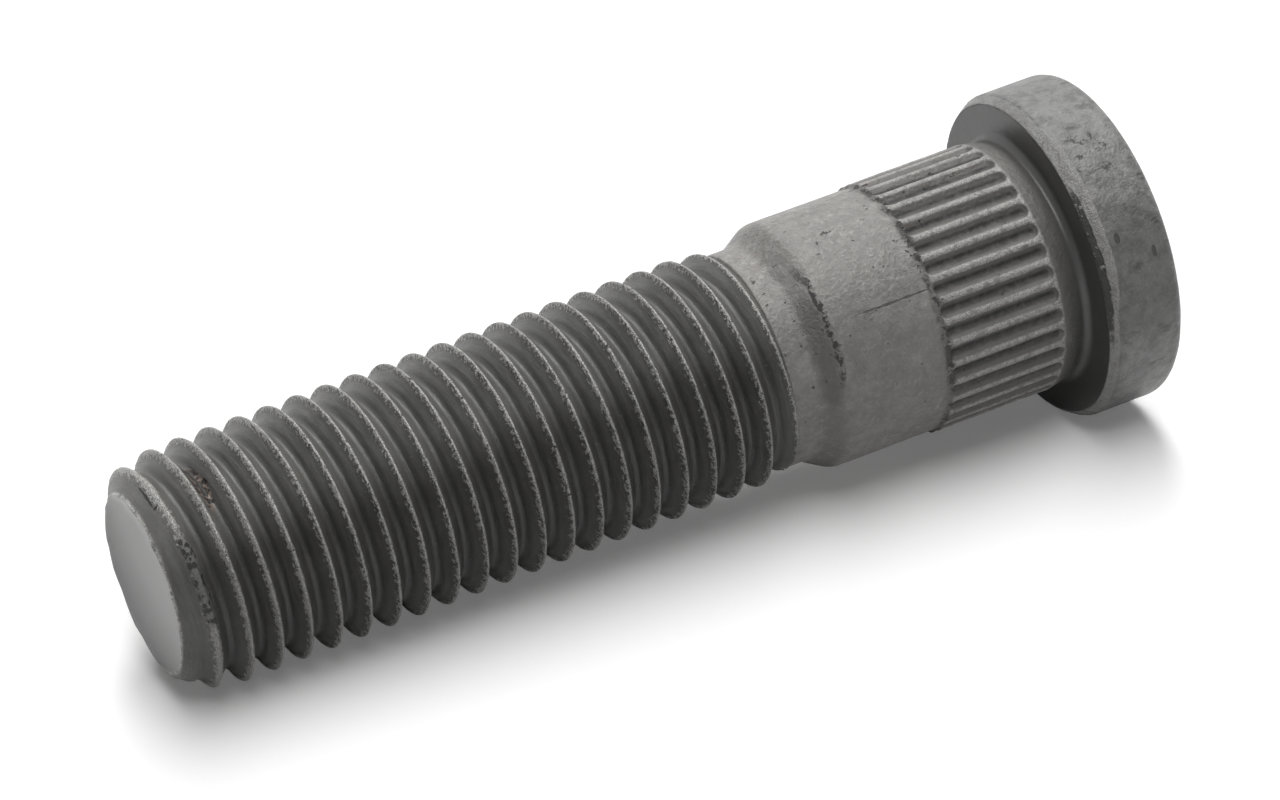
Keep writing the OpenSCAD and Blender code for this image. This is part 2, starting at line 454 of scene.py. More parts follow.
def wind_thread(thread, section, material):
    """Geometry tree that winds the section of one thread into the whole threaded end."""
    inputs = TreeInputs("Wound Thread")
    start = inputs.geometry()
    steps = len(section)
    pitch = inputs.number("Pitch", thread.pitch / MM)
    crest_r = inputs.number("Crest Radius", thread.diameter / 2 / MM)
    height = inputs.number("Thread Height", thread.height / MM)
    end_z = inputs.number("End Face Height", (LENGTH - thread.crown) / MM)
    crest_z = inputs.number("Crest Height", (LENGTH - thread.crown - thread.crest_drop) / MM)
    point_r = inputs.number("Point Radius", thread.point_diameter / 2 / MM)
    crown = inputs.number("Crown", thread.crown / MM)
    lead_in = inputs.number("Lead-in", thread.lead_in / MM)
    run_out = inputs.number("Run-out", thread.run_out / MM)
    edge_z = inputs.number("Neck Edge", thread.neck_edge / MM)
    burr = inputs.number("Burr", thread.burr / MM)
    seed = inputs.number("Seed", 4.0)

    # two laps more than the length holds, at either end
    laps = math.ceil((LENGTH - thread.neck_edge) / thread.pitch) + 4
    grid, column, row = lathe_grid(start, THREAD_COLUMNS, steps * laps)
    lap = ((row + 0.5) / steps).floor()
    section_r, section_z = section_at(start, row - lap * steps)
    part_turn = column / THREAD_COLUMNS
    around = part_turn * math.tau
    # a crest passes the +X side at crest_z, and the lowest lap lies two below the neck's edge
    laps_down = ((crest_z - edge_z) / pitch).floor() + 2.0
    z = crest_z + pitch * (lap - laps_down + part_turn) + section_z

    # the blank under the thread narrows over the lead-in and over the cone of the point
    back = (end_z - z).most(0.0)
    blank_r = crest_r - height * 0.5
    lead_r = blank_r * 0.95
    cone_slope = 1.2
    blank = blank_r.least(point_r + back * cone_slope)
    blank = blank.least(lead_r + (blank_r - lead_r) * back / lead_in)
    # the thread grows to its full height over the lead-in, and fades over the run-out
    first_share, fade_z = 0.25, edge_z - 0.7
    fade = (1.0 - (z - fade_z) / run_out).clamp()
    grown = (first_share + (1 - first_share) * back / lead_in).least(1.0) * (1.0 - fade * fade)
    # torn metal on the crests, rougher on the first laps
    lift = ((section_r - blank_r) / (height * 0.5)).smooth(0.75, 1.0)
    noise_r = 5.8
    where = around.on_lathe(noise_r, z + seed)
    tear = where.noise(2.6, 3.0, 0.65) - 0.5
    rough = (1.0 - back / 6.0).clamp() * 1.6 + 0.7
    radius = blank + (section_r - blank_r) * grown + tear * lift * burr * rough
    z = z + (where.noise(1.9, 2.0, 0.6, (1.0, 1.0, 0.4)) - 0.5) * lift * burr * 1.2

    radius, top = end_face(radius, z, where, end_z, crown)
    radius = torn_neck(radius, z, where, edge_z, blank_r - 0.25)
    # the foot is closed inside the neck
    foot_z = edge_z - 0.4
    radius = radius * (1.0 - ((foot_z - z) / 0.8).clamp())
    inputs.finish(place_on_lathe(start, grid, around, radius, top.most(foot_z), material))
    return inputs


def groove_ends(body):
    """Heights at which the grooves of the collar begin and end, in millimetres."""
    low = (body.head_height + body.relief_length + body.ring_length) / MM
    return low, low + body.groove_length / MM


def head_section(body):
    """Half section of the head, from the middle of its outer face to the seat's inner edge."""
    head_r = HEAD_RADIUS / MM
    head_z = body.head_height / MM
    bend = body.outer_round / MM
    trim_z = head_z - body.trim_height / MM
    trim_r = head_r - body.trim_width / MM
    seat_r = (body.collar_diameter / 2 - body.relief_depth + body.seat_fillet) / MM
    return [
        *straight((0.0, 0.0), (head_r - bend - 0.15, 0.0), 6),
        *straight((head_r - bend - 0.15, 0.0), (head_r - bend, 0.0), 1),
        *arc((head_r - bend, bend), bend, -90, 0, 7),
        # short steps keep the trimmed edge and the seat's edge crisp
        *straight((head_r, bend), (head_r, trim_z - 0.08), 20),
        *straight((head_r, trim_z - 0.08), (head_r - 0.02, trim_z), 1),
        *straight((head_r - 0.02, trim_z), (trim_r, head_z - 0.03), 6),
        *straight((trim_r, head_z - 0.03), (trim_r - 0.06, head_z), 1),
        *straight((trim_r - 0.06, head_z), (seat_r, head_z), 10),
    ]


def collar_section(body):
    """Half section of the relief and of the collar before its grooves, up to the shank."""
    head_z = body.head_height / MM
    rib_r = body.collar_diameter / 2 / MM
    pilot_r = body.pilot_diameter / 2 / MM
    fillet = body.seat_fillet / MM
    relief_z = head_z + body.relief_length / MM
    relief_r = rib_r - body.relief_depth / MM
    shelf_r = rib_r - body.relief_depth / 3 / MM
    low, high = groove_ends(body)
    edge_z = high - (rib_r - pilot_r)
    # rows crowd together at both ends of the grooves
    low_end, high_end = low + 0.6, high - 0.65
    return [
        *arc((relief_r + fillet, head_z + fillet), fillet, 270, 180, 6),
        *straight((relief_r, head_z + fillet), (shelf_r, relief_z), 6),
        *straight((shelf_r, relief_z), (rib_r, low), 5),
        *straight((rib_r, low), (rib_r, low_end), 10),
        *straight((rib_r, low_end), (rib_r, high_end), 18),
        *straight((rib_r, high_end), (rib_r, edge_z), 9),
        *straight((rib_r, edge_z), (pilot_r, high), 2),
    ]


def shank_section(body, top):
    """Half section of the shank, the shoulder cone and the neck, up to the axis at the top."""
    pilot_r = body.pilot_diameter / 2 / MM
    neck_r = body.neck_diameter / 2 / MM
    rounding = body.shoulder_round / MM
    hollow = body.neck_fillet / MM
    pilot_z = groove_ends(body)[1]
    shoulder_z = pilot_z + body.pilot_length / MM
    length = body.shoulder_length / MM
    slope = math.atan((pilot_r - neck_r) / length)
    cone = math.degrees(slope)
    edge_z = shoulder_z - rounding * math.tan(slope / 2)
    hollow_z = shoulder_z + length + hollow * math.tan(slope / 2)
    cone_low = (pilot_r - rounding * (1 - math.cos(slope)), edge_z + rounding * math.sin(slope))
    cone_high = (neck_r + hollow * (1 - math.cos(slope)), hollow_z - hollow * math.sin(slope))
    return [
        *straight((pilot_r, pilot_z), (pilot_r, edge_z), 25),
        *arc((pilot_r - rounding, edge_z), rounding, 0, cone, 5),
        *straight(cone_low, cone_high, 9),
        *arc((neck_r + hollow, hollow_z), hollow, 180 + cone, 180, 5),
        *straight((neck_r, hollow_z), (neck_r, top - 0.06), 7),
        *straight((neck_r, top - 0.06), (neck_r - 0.03, top), 1),
        *straight((neck_r - 0.03, top), (0.0, top), 4),
        (0.0, top),
    ]


def turn_body(body, section, material):
    """Geometry tree that turns the section round and presses the grooves of the collar into it."""
    inputs = TreeInputs("Turned Body")
    start = inputs.geometry()
    ribs = inputs.number("Ribs", body.ribs)
    rib_r = inputs.number("Rib Radius", body.collar_diameter / 2 / MM)
    depth = inputs.number("Groove Depth", body.groove_depth / MM)
    groove_r = inputs.number("Groove Radius", body.groove_radius / MM)
    low = inputs.number("Groove Low End", groove_ends(body)[0])
    length = inputs.number("Groove Length", body.groove_length / MM)
    first = inputs.number("Groove Turn", body.groove_turn)
    head_z = inputs.number("Head Height", body.head_height / MM)
    wear = inputs.number("Wear", body.wear / MM)
    seed = inputs.number("Seed", 9.0)

    grid, column, row = lathe_grid(start, BODY_COLUMNS, len(section))
    section_r, z = section_at(start, row)
    # columns crowd together at the edges of the grooves
    lap = column * ribs / BODY_COLUMNS
    part = lap - (lap + 0.5).floor()
    eased = (part * math.pi).math("SINE") * 0.25 + part * 0.5
    step = math.tau / ribs
    around = first + (lap - part + eased) * step
    across = abs(eased) * step * rib_r
    # the round bottom of a groove, narrowed to nothing at both its ends
    high = low + length
    end = groove_r * 0.9
    from_end = ((z - low).least(high - z) / end).clamp()
    tool = groove_r * (1.0 - (1.0 - from_end) * (1.0 - from_end)).math("SQRT")
    chord = (tool * tool - across * across).most(0.0).math("SQRT")
    # a point that the tool misses gets a groove floor far outside the collar
    outside = 1.0 - (chord * 1000.0).least(1.0)
    groove_floor = rib_r - depth + groove_r - chord + outside * 10.0
    half_groove = (groove_r * groove_r - (groove_r - depth) * (groove_r - depth)).math("SQRT")
    # the edges of a groove are worn down, over this width and by this much
    worn_width, worn_drop = 0.16, 0.06
    from_edge = (1.0 - (across - half_groove) / worn_width).clamp() * from_end
    radius = (section_r - from_edge * from_edge * worn_drop).least(groove_floor)
    # ribs are a little uneven, and torn where a groove ends
    where = around.on_lathe(section_r, z + seed)
    on_ribs = (z - low).smooth(-0.1, 0.2) * (high - z).smooth(-0.1, 0.1)
    radius = radius + (where.noise(2.2, 3.0, 0.6, (1.0, 1.0, 0.35)) - 0.5) * 0.05 * on_ribs
    frayed = abs(z - high + 0.1).smooth(0.4, 0.0)
    radius = radius + (where.noise(2.6, 3.0, 0.65) - 0.55) * 0.16 * frayed
    # dents in the forged rim and torn metal at its trimmed edge
    rim = (section_r - (rib_r + 1.2)).smooth(0.0, 0.6)
    trim = (z - (head_z - 0.75)).smooth(0.0, 0.35) * rim
    dents = (where.noise(0.8, 2.0, 0.55) - 0.52).least(0.0) * 1.2
    rough = (where.noise(2.4, 3.0, 0.65) - 0.8) * (0.25 + 0.9 * trim)
    radius = radius + rim * wear * (dents + rough)
    lifted = (where.noise(1.7, 2.0, 0.6) - 0.62) * (z - head_z).smooth(-0.3, 0.0)
    height = z + trim * wear * lifted
    inputs.finish(place_on_lathe(start, grid, around, radius, height, material))
    return inputs


def toned(colour, factor):
    """The colour, made darker or lighter by a factor."""
    return [c * factor for c in colour]


def two_tones(mask, colour, spread):
    """A colour made a little darker and lighter by a mask."""
    low, high = ((*toned(colour, factor), 1.0) for factor in (1 - spread, 1 + spread))
    return mask.blend(low, high)


class Coat:
    """The phosphate coat of one piece: wires for place, and the layers laid over its colour."""

    def __init__(self, name, finish):
        self.finish = finish
        self.material = bpy.data.materials.new(name)
        self.material.use_nodes = True
        tree = self.material.node_tree
        tree.nodes.clear()
        place = Wire(tree, None).node("ShaderNodeTexCoord", output="Object")
        # the place on the piece, in millimetres
        self.mm = place.vector("MULTIPLY", (1 / MM,) * 3)
        self.x, self.y, self.z = self.mm.split()
        self.radius = (self.x * self.x + self.y * self.y).math("SQRT")
        self.angle = self.y.math("ARCTAN2", self.x)
        self.chips = self.mm.noise(2.6, 3.0, 0.6)
        self.fine = self.mm.noise(16.0, 2.0, 0.6)
        self.colour = None
        self.rough = None
        self.bump = None

    def turned(self, low, high):
        """0 at one angle round the axis and 1 at the other, in degrees, with an eased step."""
        return self.angle.smooth(math.radians(low), math.radians(high))

    def patch(self, degrees, height, half_arc, half_length, ragged=0.5, scale=2.0):
        """A ragged spot at an angle and a height, 1 inside and 0 outside, in millimetres."""
        turned = self.angle - math.radians(degrees)
        turned = turned - (turned / math.tau + 0.5).floor() * math.tau
        arc_off = turned * self.radius / half_arc
        up_off = (self.z - height) / half_length
        far = (arc_off * arc_off + up_off * up_off).math("SQRT")
        far = far + (self.mm.noise(scale, 3.0, 0.6) - 0.5) * 2.0 * ragged
        return far.smooth(1.0, 0.7)

    def lay(self, mask, colour):
        """Lays a colour over what is there, as far as the mask says."""
        self.colour = mask.blend(self.colour, (*colour, 1.0))

    def close(self, bump_mm):
        """Feeds the colour, roughness and bump into one shader, and returns the material."""
        sockets = {"Base Color": self.colour, "Roughness": self.rough, "Specular IOR Level": 0.5}
        shader = self.mm.node("ShaderNodeBsdfPrincipled", sockets=sockets)
        sockets = {"Strength": 1.0, "Distance": bump_mm * MM, "Height": self.bump}
        relief = self.mm.node("ShaderNodeBump", sockets=sockets)
        self.material.node_tree.links.new(relief.socket, shader.socket.node.inputs["Normal"])
        self.mm.node("ShaderNodeOutputMaterial", sockets={"Surface": shader})
        return self.material


class ThreadCoat(Coat):
    """Dark coat on the flanks, worn crests, painted shade in the roots and on the camera's side,
    and the first laps' scars.
    """

    def __init__(self, thread, finish):
        super().__init__("Thread Coat", finish)
        pitch = thread.pitch / MM
        crest = thread.diameter / 2 / MM
        root = crest - thread.height / MM
        top = (LENGTH - thread.crown) / MM
        laps = (self.z - (top - thread.crest_drop / MM)) / pitch - self.angle / math.tau
        self.lap = (laps + 0.5).floor()
        # distance from the crest's middle along the axis, towards the point
        self.off = (laps - self.lap) * pitch
        self.height = ((self.radius - root) / (crest - root)).clamp()
        # distance from the end face's edge down the axis, and out from that edge
        self.back = top - self.z
        self.grain = self.mm.noise(7.0, 3.0, 0.7)
        ragged = (self.fine - 0.5) * 0.2 + (self.grain - 0.5) * 0.12
        self.out = self.radius + ragged - thread.point_diameter / 2 / MM
        # the near side gets painted shade: darker flanks and fewer bright crests
        self.shaded_near = self.turned(-66, -98) * self.turned(-180, -150)

    def flanks(self):
        """Dark coat with the marks of the rolling dies, and painted shade on the camera's side and
        in the roots.
        """
        dark = self.finish.thread
        cloud = self.mm.noise(0.6, 3.0, 0.55)
        self.colour = two_tones(cloud.smooth(0.3, 0.7), dark, 0.12)
        along = self.mm.combine(self.off * 9.0, self.angle * 4.0, self.lap * 3.7)
        self.marks = along.noise(1.0, 3.0, 0.6)
        self.lay(self.marks.smooth(0.42, 0.62) * 0.4, toned(dark, 0.55))
        self.lay(self.mm.noise(3.0, 3.0, 0.6).smooth(0.5, 0.7) * 0.3, toned(dark, 0.6))
        # painted shade on the near side
        self.lay(self.shaded_near * 0.56, self.finish.soot_and_shade)
        # painted shade in the root, most of it at the foot of the flank that faces the point
        deep = self.height.smooth(0.55, 0.05) * self.back.smooth(0.7, 1.8)
        self.lay(deep * (0.25 + 0.45 * self.off.smooth(0.3, 0.5)), self.finish.soot_and_shade)
        self.lay(self.grain.smooth(0.62, 0.74) * 0.12, self.finish.bare)

    def crests(self):
        """Crests torn and worn bright, widest on the first laps, greyer at the row of pits, and
        fewer on the camera's side as painted shade.
        """
        first = (1.0 - self.back / 2.6).clamp()
        flakes = self.mm.noise(4.6, 3.0, 0.65).smooth(0.4, 0.7)
        width = 0.055 + 0.24 * flakes + 0.12 * (1.0 - self.back / 9.0).clamp()
        torn = (1.0 - abs(self.off + (self.grain - 0.5) * 0.16) / width).clamp()
        torn = torn * (self.height + first * 0.7).smooth(0.5, 0.8) * self.back.smooth(0.15, 0.3)
        torn = torn.smooth(0.0, 0.36) * (0.2 + 0.8 * self.fine.smooth(0.43, 0.51))
        # fewer bright crests on the near side: painted shade
        torn = torn * self.chips.smooth(0.16, 0.42) * (1.0 - 0.4 * self.shaded_near)
        on_crest = abs(self.off + 0.04).smooth(0.36, 0.22)
        self.row = self.patch(-95, 49.8, 2.8, 0.65, 0.2, 1.0) * on_crest
        self.torn = torn * (1.0 - 0.75 * self.row)
        self.lay(self.torn * 0.95, self.finish.bare)

    def scars(self):
        """Scars of the first laps: rust, nicks, and a row of pits on the first crest."""
        rust = self.patch(-47.5, 47.93, 1.75, 0.4, 0.45, 1.6)
        self.lay(rust * 0.85, self.finish.rust)
        cracks = rust * self.mm.noise(2.6, 3.0, 0.6).smooth(0.55, 0.47)
        nick = self.patch(-44, 50.4, 1.0, 0.055, 0.5, 2.6)
        nick = nick.most(self.patch(-52.5, 50.33, 0.09, 0.13, 0.4, 2.6))
        sockets = {"Vector": self.mm, "Scale": 2.7}
        cells = self.mm.node("ShaderNodeTexVoronoi", {}, sockets, "Distance")
        dots = self.row * (cells + (self.fine - 0.5) * 0.3).smooth(0.5, 0.38)
        nicks = abs(self.off).smooth(0.24, 0.12) * self.height.smooth(0.6, 0.85)
        nicks = nicks * self.mm.noise(3.4, 3.0, 0.6).smooth(0.37, 0.31)
        self.pits = dots.most(cracks).most(nick).most(nicks)
        self.lay(self.pits * 0.96, self.finish.soot_and_shade)

    def end_face(self):
        """The smooth crowned end face with a painted reflection, lighter to one side and darker to
        the other, and a torn edge.
        """
        self.face = self.back.smooth(0.2, 0.12) * self.out.smooth(0.01, -0.05)
        # painted reflection: the end face is lighter towards one side and darker towards the other
        pale = (self.x * 0.3 - self.y * 0.95).smooth(-4.6, 4.0)
        self.colour = self.face.blend(self.colour, two_tones(pale, self.finish.face, 0.72))
        ring = self.back.smooth(0.5, 0.3) * abs(self.out - 0.03).smooth(0.14, 0.02)
        ring = ring * (0.25 + 0.75 * self.fine.smooth(0.45, 0.56)) * self.chips.smooth(0.3, 0.55)
        self.lay(ring, self.finish.bare)

    def build(self):
        """Lays all layers in order and returns the material."""
        self.flanks()
        self.crests()
        self.scars()
        self.end_face()
        self.rough = 0.42 + 0.2 * (self.grain - 0.5) + 0.16 * self.face + 0.2 * self.pits
        dull = (self.grain * 0.6 + self.marks * 0.9) * (1.0 - self.face)
        self.bump = dull + self.torn * (self.grain + self.fine) * 1.4 - self.pits * 2.5
        return self.close(0.03)


class BodyCoat(Coat):
    """Pale mottled coat on the shank, painted shade in the grooves and on the camera's side, worn
    ribs, and the forged head.
    """

    def __init__(self, body, finish):
        super().__init__("Body Coat", finish)
        self.rib_r = body.collar_diameter / 2 / MM
        self.pilot_r = body.pilot_diameter / 2 / MM
        self.head_z = body.head_height / MM
        self.low, self.high = groove_ends(body)
        self.shoulder_z = self.high + body.pilot_length / MM
        # angle counted in ribs, 0 at the middle of a groove
        self.laps = (self.angle - body.groove_turn) * (body.ribs / math.tau)
        self.cloud = self.mm.noise(0.45, 4.0, 0.6)
        self.blotch = self.mm.noise(1.5, 4.0, 0.65)
        self.crust = self.mm.noise(3.2, 4.0, 0.7)
        self.grain = self.mm.noise(6.0, 3.0, 0.7)
        self.uneven = (self.blotch - 0.5) * 0.4
        # the near side is darker in patches: painted shade
        self.shaded_near = self.y.smooth(-1.0, -6.2) * self.cloud.smooth(0.3, 0.55)
        # the side facing the camera, which gets more of the painted shade
        self.shaded_front = self.turned(-58, -96)

    def shank(self):
        """Pale coat with brownish clouds, light crust and dark grains, greyer on the cone, and
        painted shade on the camera's side.
        """
        finish = self.finish
        self.colour = two_tones(self.blotch.smooth(0.3, 0.7), finish.shank, 0.16)
        self.lay(self.cloud.smooth(0.5, 0.68) * 0.3, finish.blush)
        self.lay(self.crust.smooth(0.5, 0.66) * self.cloud.smooth(0.42, 0.56) * 0.3, finish.bare)
        self.lay(self.crust.smooth(0.46, 0.3) * 0.35, finish.collar)
        self.lay(self.grain.smooth(0.56, 0.7) * 0.14, finish.bare)
        self.lay(self.grain.smooth(0.44, 0.32) * 0.22, finish.collar)
        # painted shade on the near side, strongest on the front
        self.lay(self.shaded_near * (0.22 + 0.4 * self.shaded_front), toned(finish.head, 0.8))
        cone = (self.radius + self.uneven * 0.5).smooth(self.pilot_r + 0.02, self.pilot_r - 0.3)
        cone = cone * (self.z + self.uneven - self.shoulder_z).smooth(1.4, 0.8)
        cone = cone * (self.z - self.high).smooth(0.0, 1.0)
        # the cone is greyer all round, and darker on its front as painted shade
        self.lay(cone * (0.3 + 0.25 * self.shaded_front), toned(finish.collar, 0.75))
        self.lay(self.patch(-96, 17.8, 3.2, 0.95, 0.4, 0.6) * cone * 0.6, finish.seat)

    def collar(self):
        """Darker coat on the whole collar, up to a ragged line past the grooves, with painted shade
        on the camera's side.
        """
        collar = (self.z - self.high - 0.1 + (self.blotch - 0.5) * 0.9).smooth(0.3, -0.15)
        self.lay(collar, self.finish.collar)
        # painted shade on the collar's near side
        self.lay(collar * self.shaded_near * 0.3, self.finish.seat)
        self.lay(collar * self.blotch.smooth(0.35, 0.7) * 0.2, self.finish.blush)

    def head(self):
        """Smooth dark seat, and the mottled rim of the head, with painted shade on the rim's camera
        side.
        """
        head_r = HEAD_RADIUS / MM
        dark = self.finish.seat
        self.seat = (self.z - self.head_z - 0.55).smooth(0.35, -0.25)
        self.lay(self.seat, dark)
        # the radius is raised near the outer face, so that the rim's coat covers that face too
        raised = self.radius + (self.z - self.head_z / 2).smooth(0.5, 0.0) * 9.0
        self.rim = raised.smooth(head_r - 0.42, head_r - 0.36) * self.seat
        mottled = two_tones(self.blotch.smooth(0.35, 0.62), self.finish.head, 0.26)
        self.colour = self.rim.blend(self.colour, mottled)
        self.lay(self.rim * self.crust.smooth(0.52, 0.66) * 0.12, self.finish.bare)
        # painted shade over the front of the rim
        self.lay(self.rim * self.patch(-106, 2.0, 4.2, 3.0, 0.4, 0.5) * 0.42, dark)
        self.lay(self.rim * self.crust.smooth(0.42, 0.32) * 0.35, dark)

    def ribs(self):
        """Worn ribs between grooves with painted shade on their upper sides, and the plain ring
        below, darkened as painted shade.
        """
        grooved = (self.z - self.low).smooth(-0.1, 0.1) * (self.z - self.high).smooth(0.1, -0.1)
        self.sunk = grooved * (self.radius - self.rib_r).smooth(-0.19, -0.29)
        # painted shade in the grooves, darkest on the upper wall that faces away from the lamps
        upper = (self.laps - (self.laps + 0.5).floor()).smooth(-0.12, 0.12)
        groove_shade = 0.2 + 0.5 * upper + 0.3 * self.chips.smooth(0.35, 0.6)
        self.lay(self.sunk * groove_shade, self.finish.soot_and_shade)
        worn = (self.radius - self.rib_r + (self.grain - 0.5) * 0.08).smooth(-0.09, -0.02)
        worn = grooved * worn * (0.18 + 0.36 * self.fine.smooth(0.44, 0.58))
        self.lay(worn * (0.4 + 0.6 * self.chips.smooth(0.36, 0.5)), self.finish.bare)
        # painted shade on the plain ring below the ribs, strongest on the front
        ring = (self.z - self.low).smooth(0.1, -0.5) * (1.0 - self.seat)
        self.lay(ring * (0.1 + 0.65 * self.shaded_front), toned(self.finish.head, 0.45))

    def trimmed_edge(self):
        """The rim's trimmed edge: a pale granular band, widest on one side, with a bright lip."""
        wide = abs(self.angle + math.radians(82)).smooth(0.7, 0.35)
        band_low = self.head_z - 0.42 - 0.36 * wide
        band_low = band_low + (self.grain - 0.5) * 0.1 + (self.chips - 0.5) * 0.2
        band = self.rim * (self.z - band_low).smooth(-0.03, 0.03)
        lip = abs(self.z - band_low - 0.06).smooth(0.08, 0.02)
        self.band = band * (0.28 + 0.4 * self.fine.smooth(0.45, 0.58))
        self.band = self.band * (0.5 + 0.5 * self.crust.smooth(0.36, 0.5).most(lip))
        self.lay(self.band, toned(self.finish.bare, 0.66))

    def head_scars(self):
        """Torn metal beside the seat, and the cracks, dents and streaks of the rim."""
        torn = self.patch(-100, self.head_z - 0.1, 4.4, 0.24, 0.45, 1.8)
        torn = torn * self.rim * self.mm.noise(2.4, 3.0, 0.6).smooth(0.62, 0.56)
        cracks = self.patch(-62, 2.2, 1.9, 1.2, 0.5, 1.2)
        cracks = cracks * self.mm.noise(1.6, 4.0, 0.7).smooth(0.44, 0.36)
        dents = self.patch(-93, 2.75, 0.38, 0.16, 0.7).most(self.patch(-101, 1.1, 0.34, 0.14, 0.7))
        streaks = self.rim * self.mm.noise(1.3, 3.0, 0.6, (1.0, 1.0, 0.45)).smooth(0.6, 0.72)
        return torn.most(cracks * 0.6).most(dents * 0.7).most(streaks * 0.45)

    def shank_scars(self):
        """The torn edge of the cone, a crease, small pits, and frayed ends of the grooves."""
        line = self.shoulder_z + 0.18 + 0.6 * self.turned(-72, -44)
        from_line = abs(self.z - line + (self.mm.noise(1.6, 4.0, 0.7) - 0.5) * 0.6)
        tear = (0.2 * self.crust.smooth(0.38, 0.6) - from_line).smooth(-0.01, 0.08)
        tear = tear * self.patch(-82, 17.4, 3.8, 1.3, 0.2) * (0.3 + 0.7 * self.turned(-54, -70))
        crease = self.patch(-86.5, 13.9, 0.07, 2.4, 0.9, 1.6)
        crease = crease * (self.z + self.uneven).smooth(16.4, 14.4) * 0.7
        small = self.mm.noise(2.3, 3.0, 0.6).smooth(0.66, 0.74)
        small = small * (self.z - self.head_z - 1.2).smooth(0.0, 0.3)
        frayed = abs(self.z - self.high + 0.05).smooth(0.34, 0.05)
        frayed = frayed * self.mm.noise(2.0, 3.0, 0.65).smooth(0.5, 0.58)
        return tear.most(crease).most(small * 0.8).most(frayed * 0.8)

    def build(self):
        """Lays all layers in order and returns the material."""
        self.shank()
        self.collar()
        self.head()
        self.ribs()
        self.trimmed_edge()
        pits = self.head_scars().most(self.shank_scars())
        self.lay(pits * 0.9, self.finish.soot_and_shade)
        self.rough = 0.42 + 0.2 * (self.grain - 0.5) - 0.05 * self.seat
        self.rough = self.rough + 0.25 * pits.most(self.sunk)
        forged = self.grain * 0.7 + self.blotch * 2.0 + self.crust * 2.5
        forged = forged + self.band * self.fine * 1.5
        # the seat is smooth
        self.bump = forged * (1.0 - self.seat * (1.0 - self.rim) * 0.9) - pits * 2.5
        return self.close(0.035)


def look_from(place, look, top):
    """Matrix of a camera or lamp at place that looks along look, with top upwards."""
    back = -Vector(look).normalized()
    right = Vector(top).cross(back).normalized()
    turned = Matrix((right, back.cross(right), back)).transposed()
    return Matrix.Translation(Vector(place)) @ turned.to_4x4()


def floor_normal(stage, crest_radius):
    """Up from the paper: the bolt lies on the rim of its head and on the crests near its point."""
    sink = math.atan((HEAD_RADIUS - crest_radius) / (LENGTH - stage.foot))
    out = Vector((math.cos(stage.upward), -math.sin(stage.upward), -math.tan(sink)))
    return out * math.cos(sink)


def paper_material(stage):
    """White paper that keeps the bolt's shadow and isn't there from behind."""
    material = bpy.data.materials.new("Paper")
    material.use_nodes = True
    tree = material.node_tree
    tree.nodes.clear()
    start = Wire(tree, None)
    camera = start.node("ShaderNodeLightPath", output="Is Camera Ray")
    glossy = start.node("ShaderNodeLightPath", output="Is Glossy Ray")
    tone = camera.most(glossy).blend((*stage.floor, 1.0), (*stage.paper, 1.0))
    paper = start.node("ShaderNodeBsdfDiffuse", sockets={"Color": tone})
    bright = start.node("ShaderNodeEmission", sockets={"Color": WHITE, "Strength": 1.0})
    paper = start.node("ShaderNodeMixShader", sockets={0: camera * stage.glow, 1: paper, 2: bright})
    clear = start.node("ShaderNodeBsdfTransparent")
    behind = start.node("ShaderNodeNewGeometry", output="Backfacing")
    mixed = start.node("ShaderNodeMixShader", sockets={0: behind, 1: paper, 2: clear})
    start.node("ShaderNodeOutputMaterial", sockets={"Surface": mixed})
    return material


def surround(stage):
    """White to the camera and in reflections, and a low plain light for everything else."""
    world = bpy.data.worlds.new("Surround")
    bpy.context.scene.world = world
    world.use_nodes = True
    tree = world.node_tree
    tree.nodes.clear()
    start = Wire(tree, None)
    camera = start.node("ShaderNodeLightPath", output="Is Camera Ray")
    glossy = start.node("ShaderNodeLightPath", output="Is Glossy Ray")
    through = start.node("ShaderNodeLightPath", output="Is Transmission Ray")
    # in reflections the room is dim on the camera's side
    ahead = start.node("ShaderNodeTexCoord", output="Generated")
    camera_side = -Vector(stage.look).normalized()
    toward = ahead.vector("DOT_PRODUCT", tuple(camera_side), output="Value")
    dim = glossy * toward.smooth(0.1, 0.8) * (1.0 - stage.room)
    seen = camera.most(glossy).most(through)
    strength = stage.fill + (1.0 - stage.fill) * seen * (1.0 - dim)
    light = start.node("ShaderNodeBackground", sockets={"Color": WHITE, "Strength": strength})
    start.node("ShaderNodeOutputWorld", sockets={"Surface": light})


def soft_lamp(direction, strength, spread):
    """A sun lamp, whose light doesn't depend on its place."""
    lamp = bpy.data.lights.new("key", "SUN")
    lamp.energy = strength
    lamp.angle = spread
    holder = bpy.data.objects.new("key", lamp)
    holder.matrix_world = look_from((0, 0, 0.3), direction, (0.1, 0.2, 1.0))
    bpy.context.scene.collection.objects.link(holder)


def lay_paper(stage, up):
    """The sheet of paper, which touches the rim of the head at the side that is down."""
    out = Vector((up.x, up.y, 0.0)).normalized()
    foot = Vector((0.0, 0.0, stage.foot)) - out * HEAD_RADIUS
    side = up.cross(Vector((0.0, 0.0, 1.0))).normalized()
    along = side.cross(up)
    half_side = 2.0
    signs = ((-1, -1), (1, -1), (1, 1), (-1, 1))
    corners = [foot + (side * a + along * b) * half_side for a, b in signs]
    mesh = bpy.data.meshes.new("paper")
    mesh.from_pydata([tuple(c) for c in corners], [], [(0, 1, 2, 3)])
    paper = bpy.data.objects.new("paper", mesh)
    bpy.context.scene.collection.objects.link(paper)
    mesh.update()
    if mesh.polygons[0].normal.dot(up) < 0:
        mesh.flip_normals()
    mesh.materials.append(paper_material(stage))


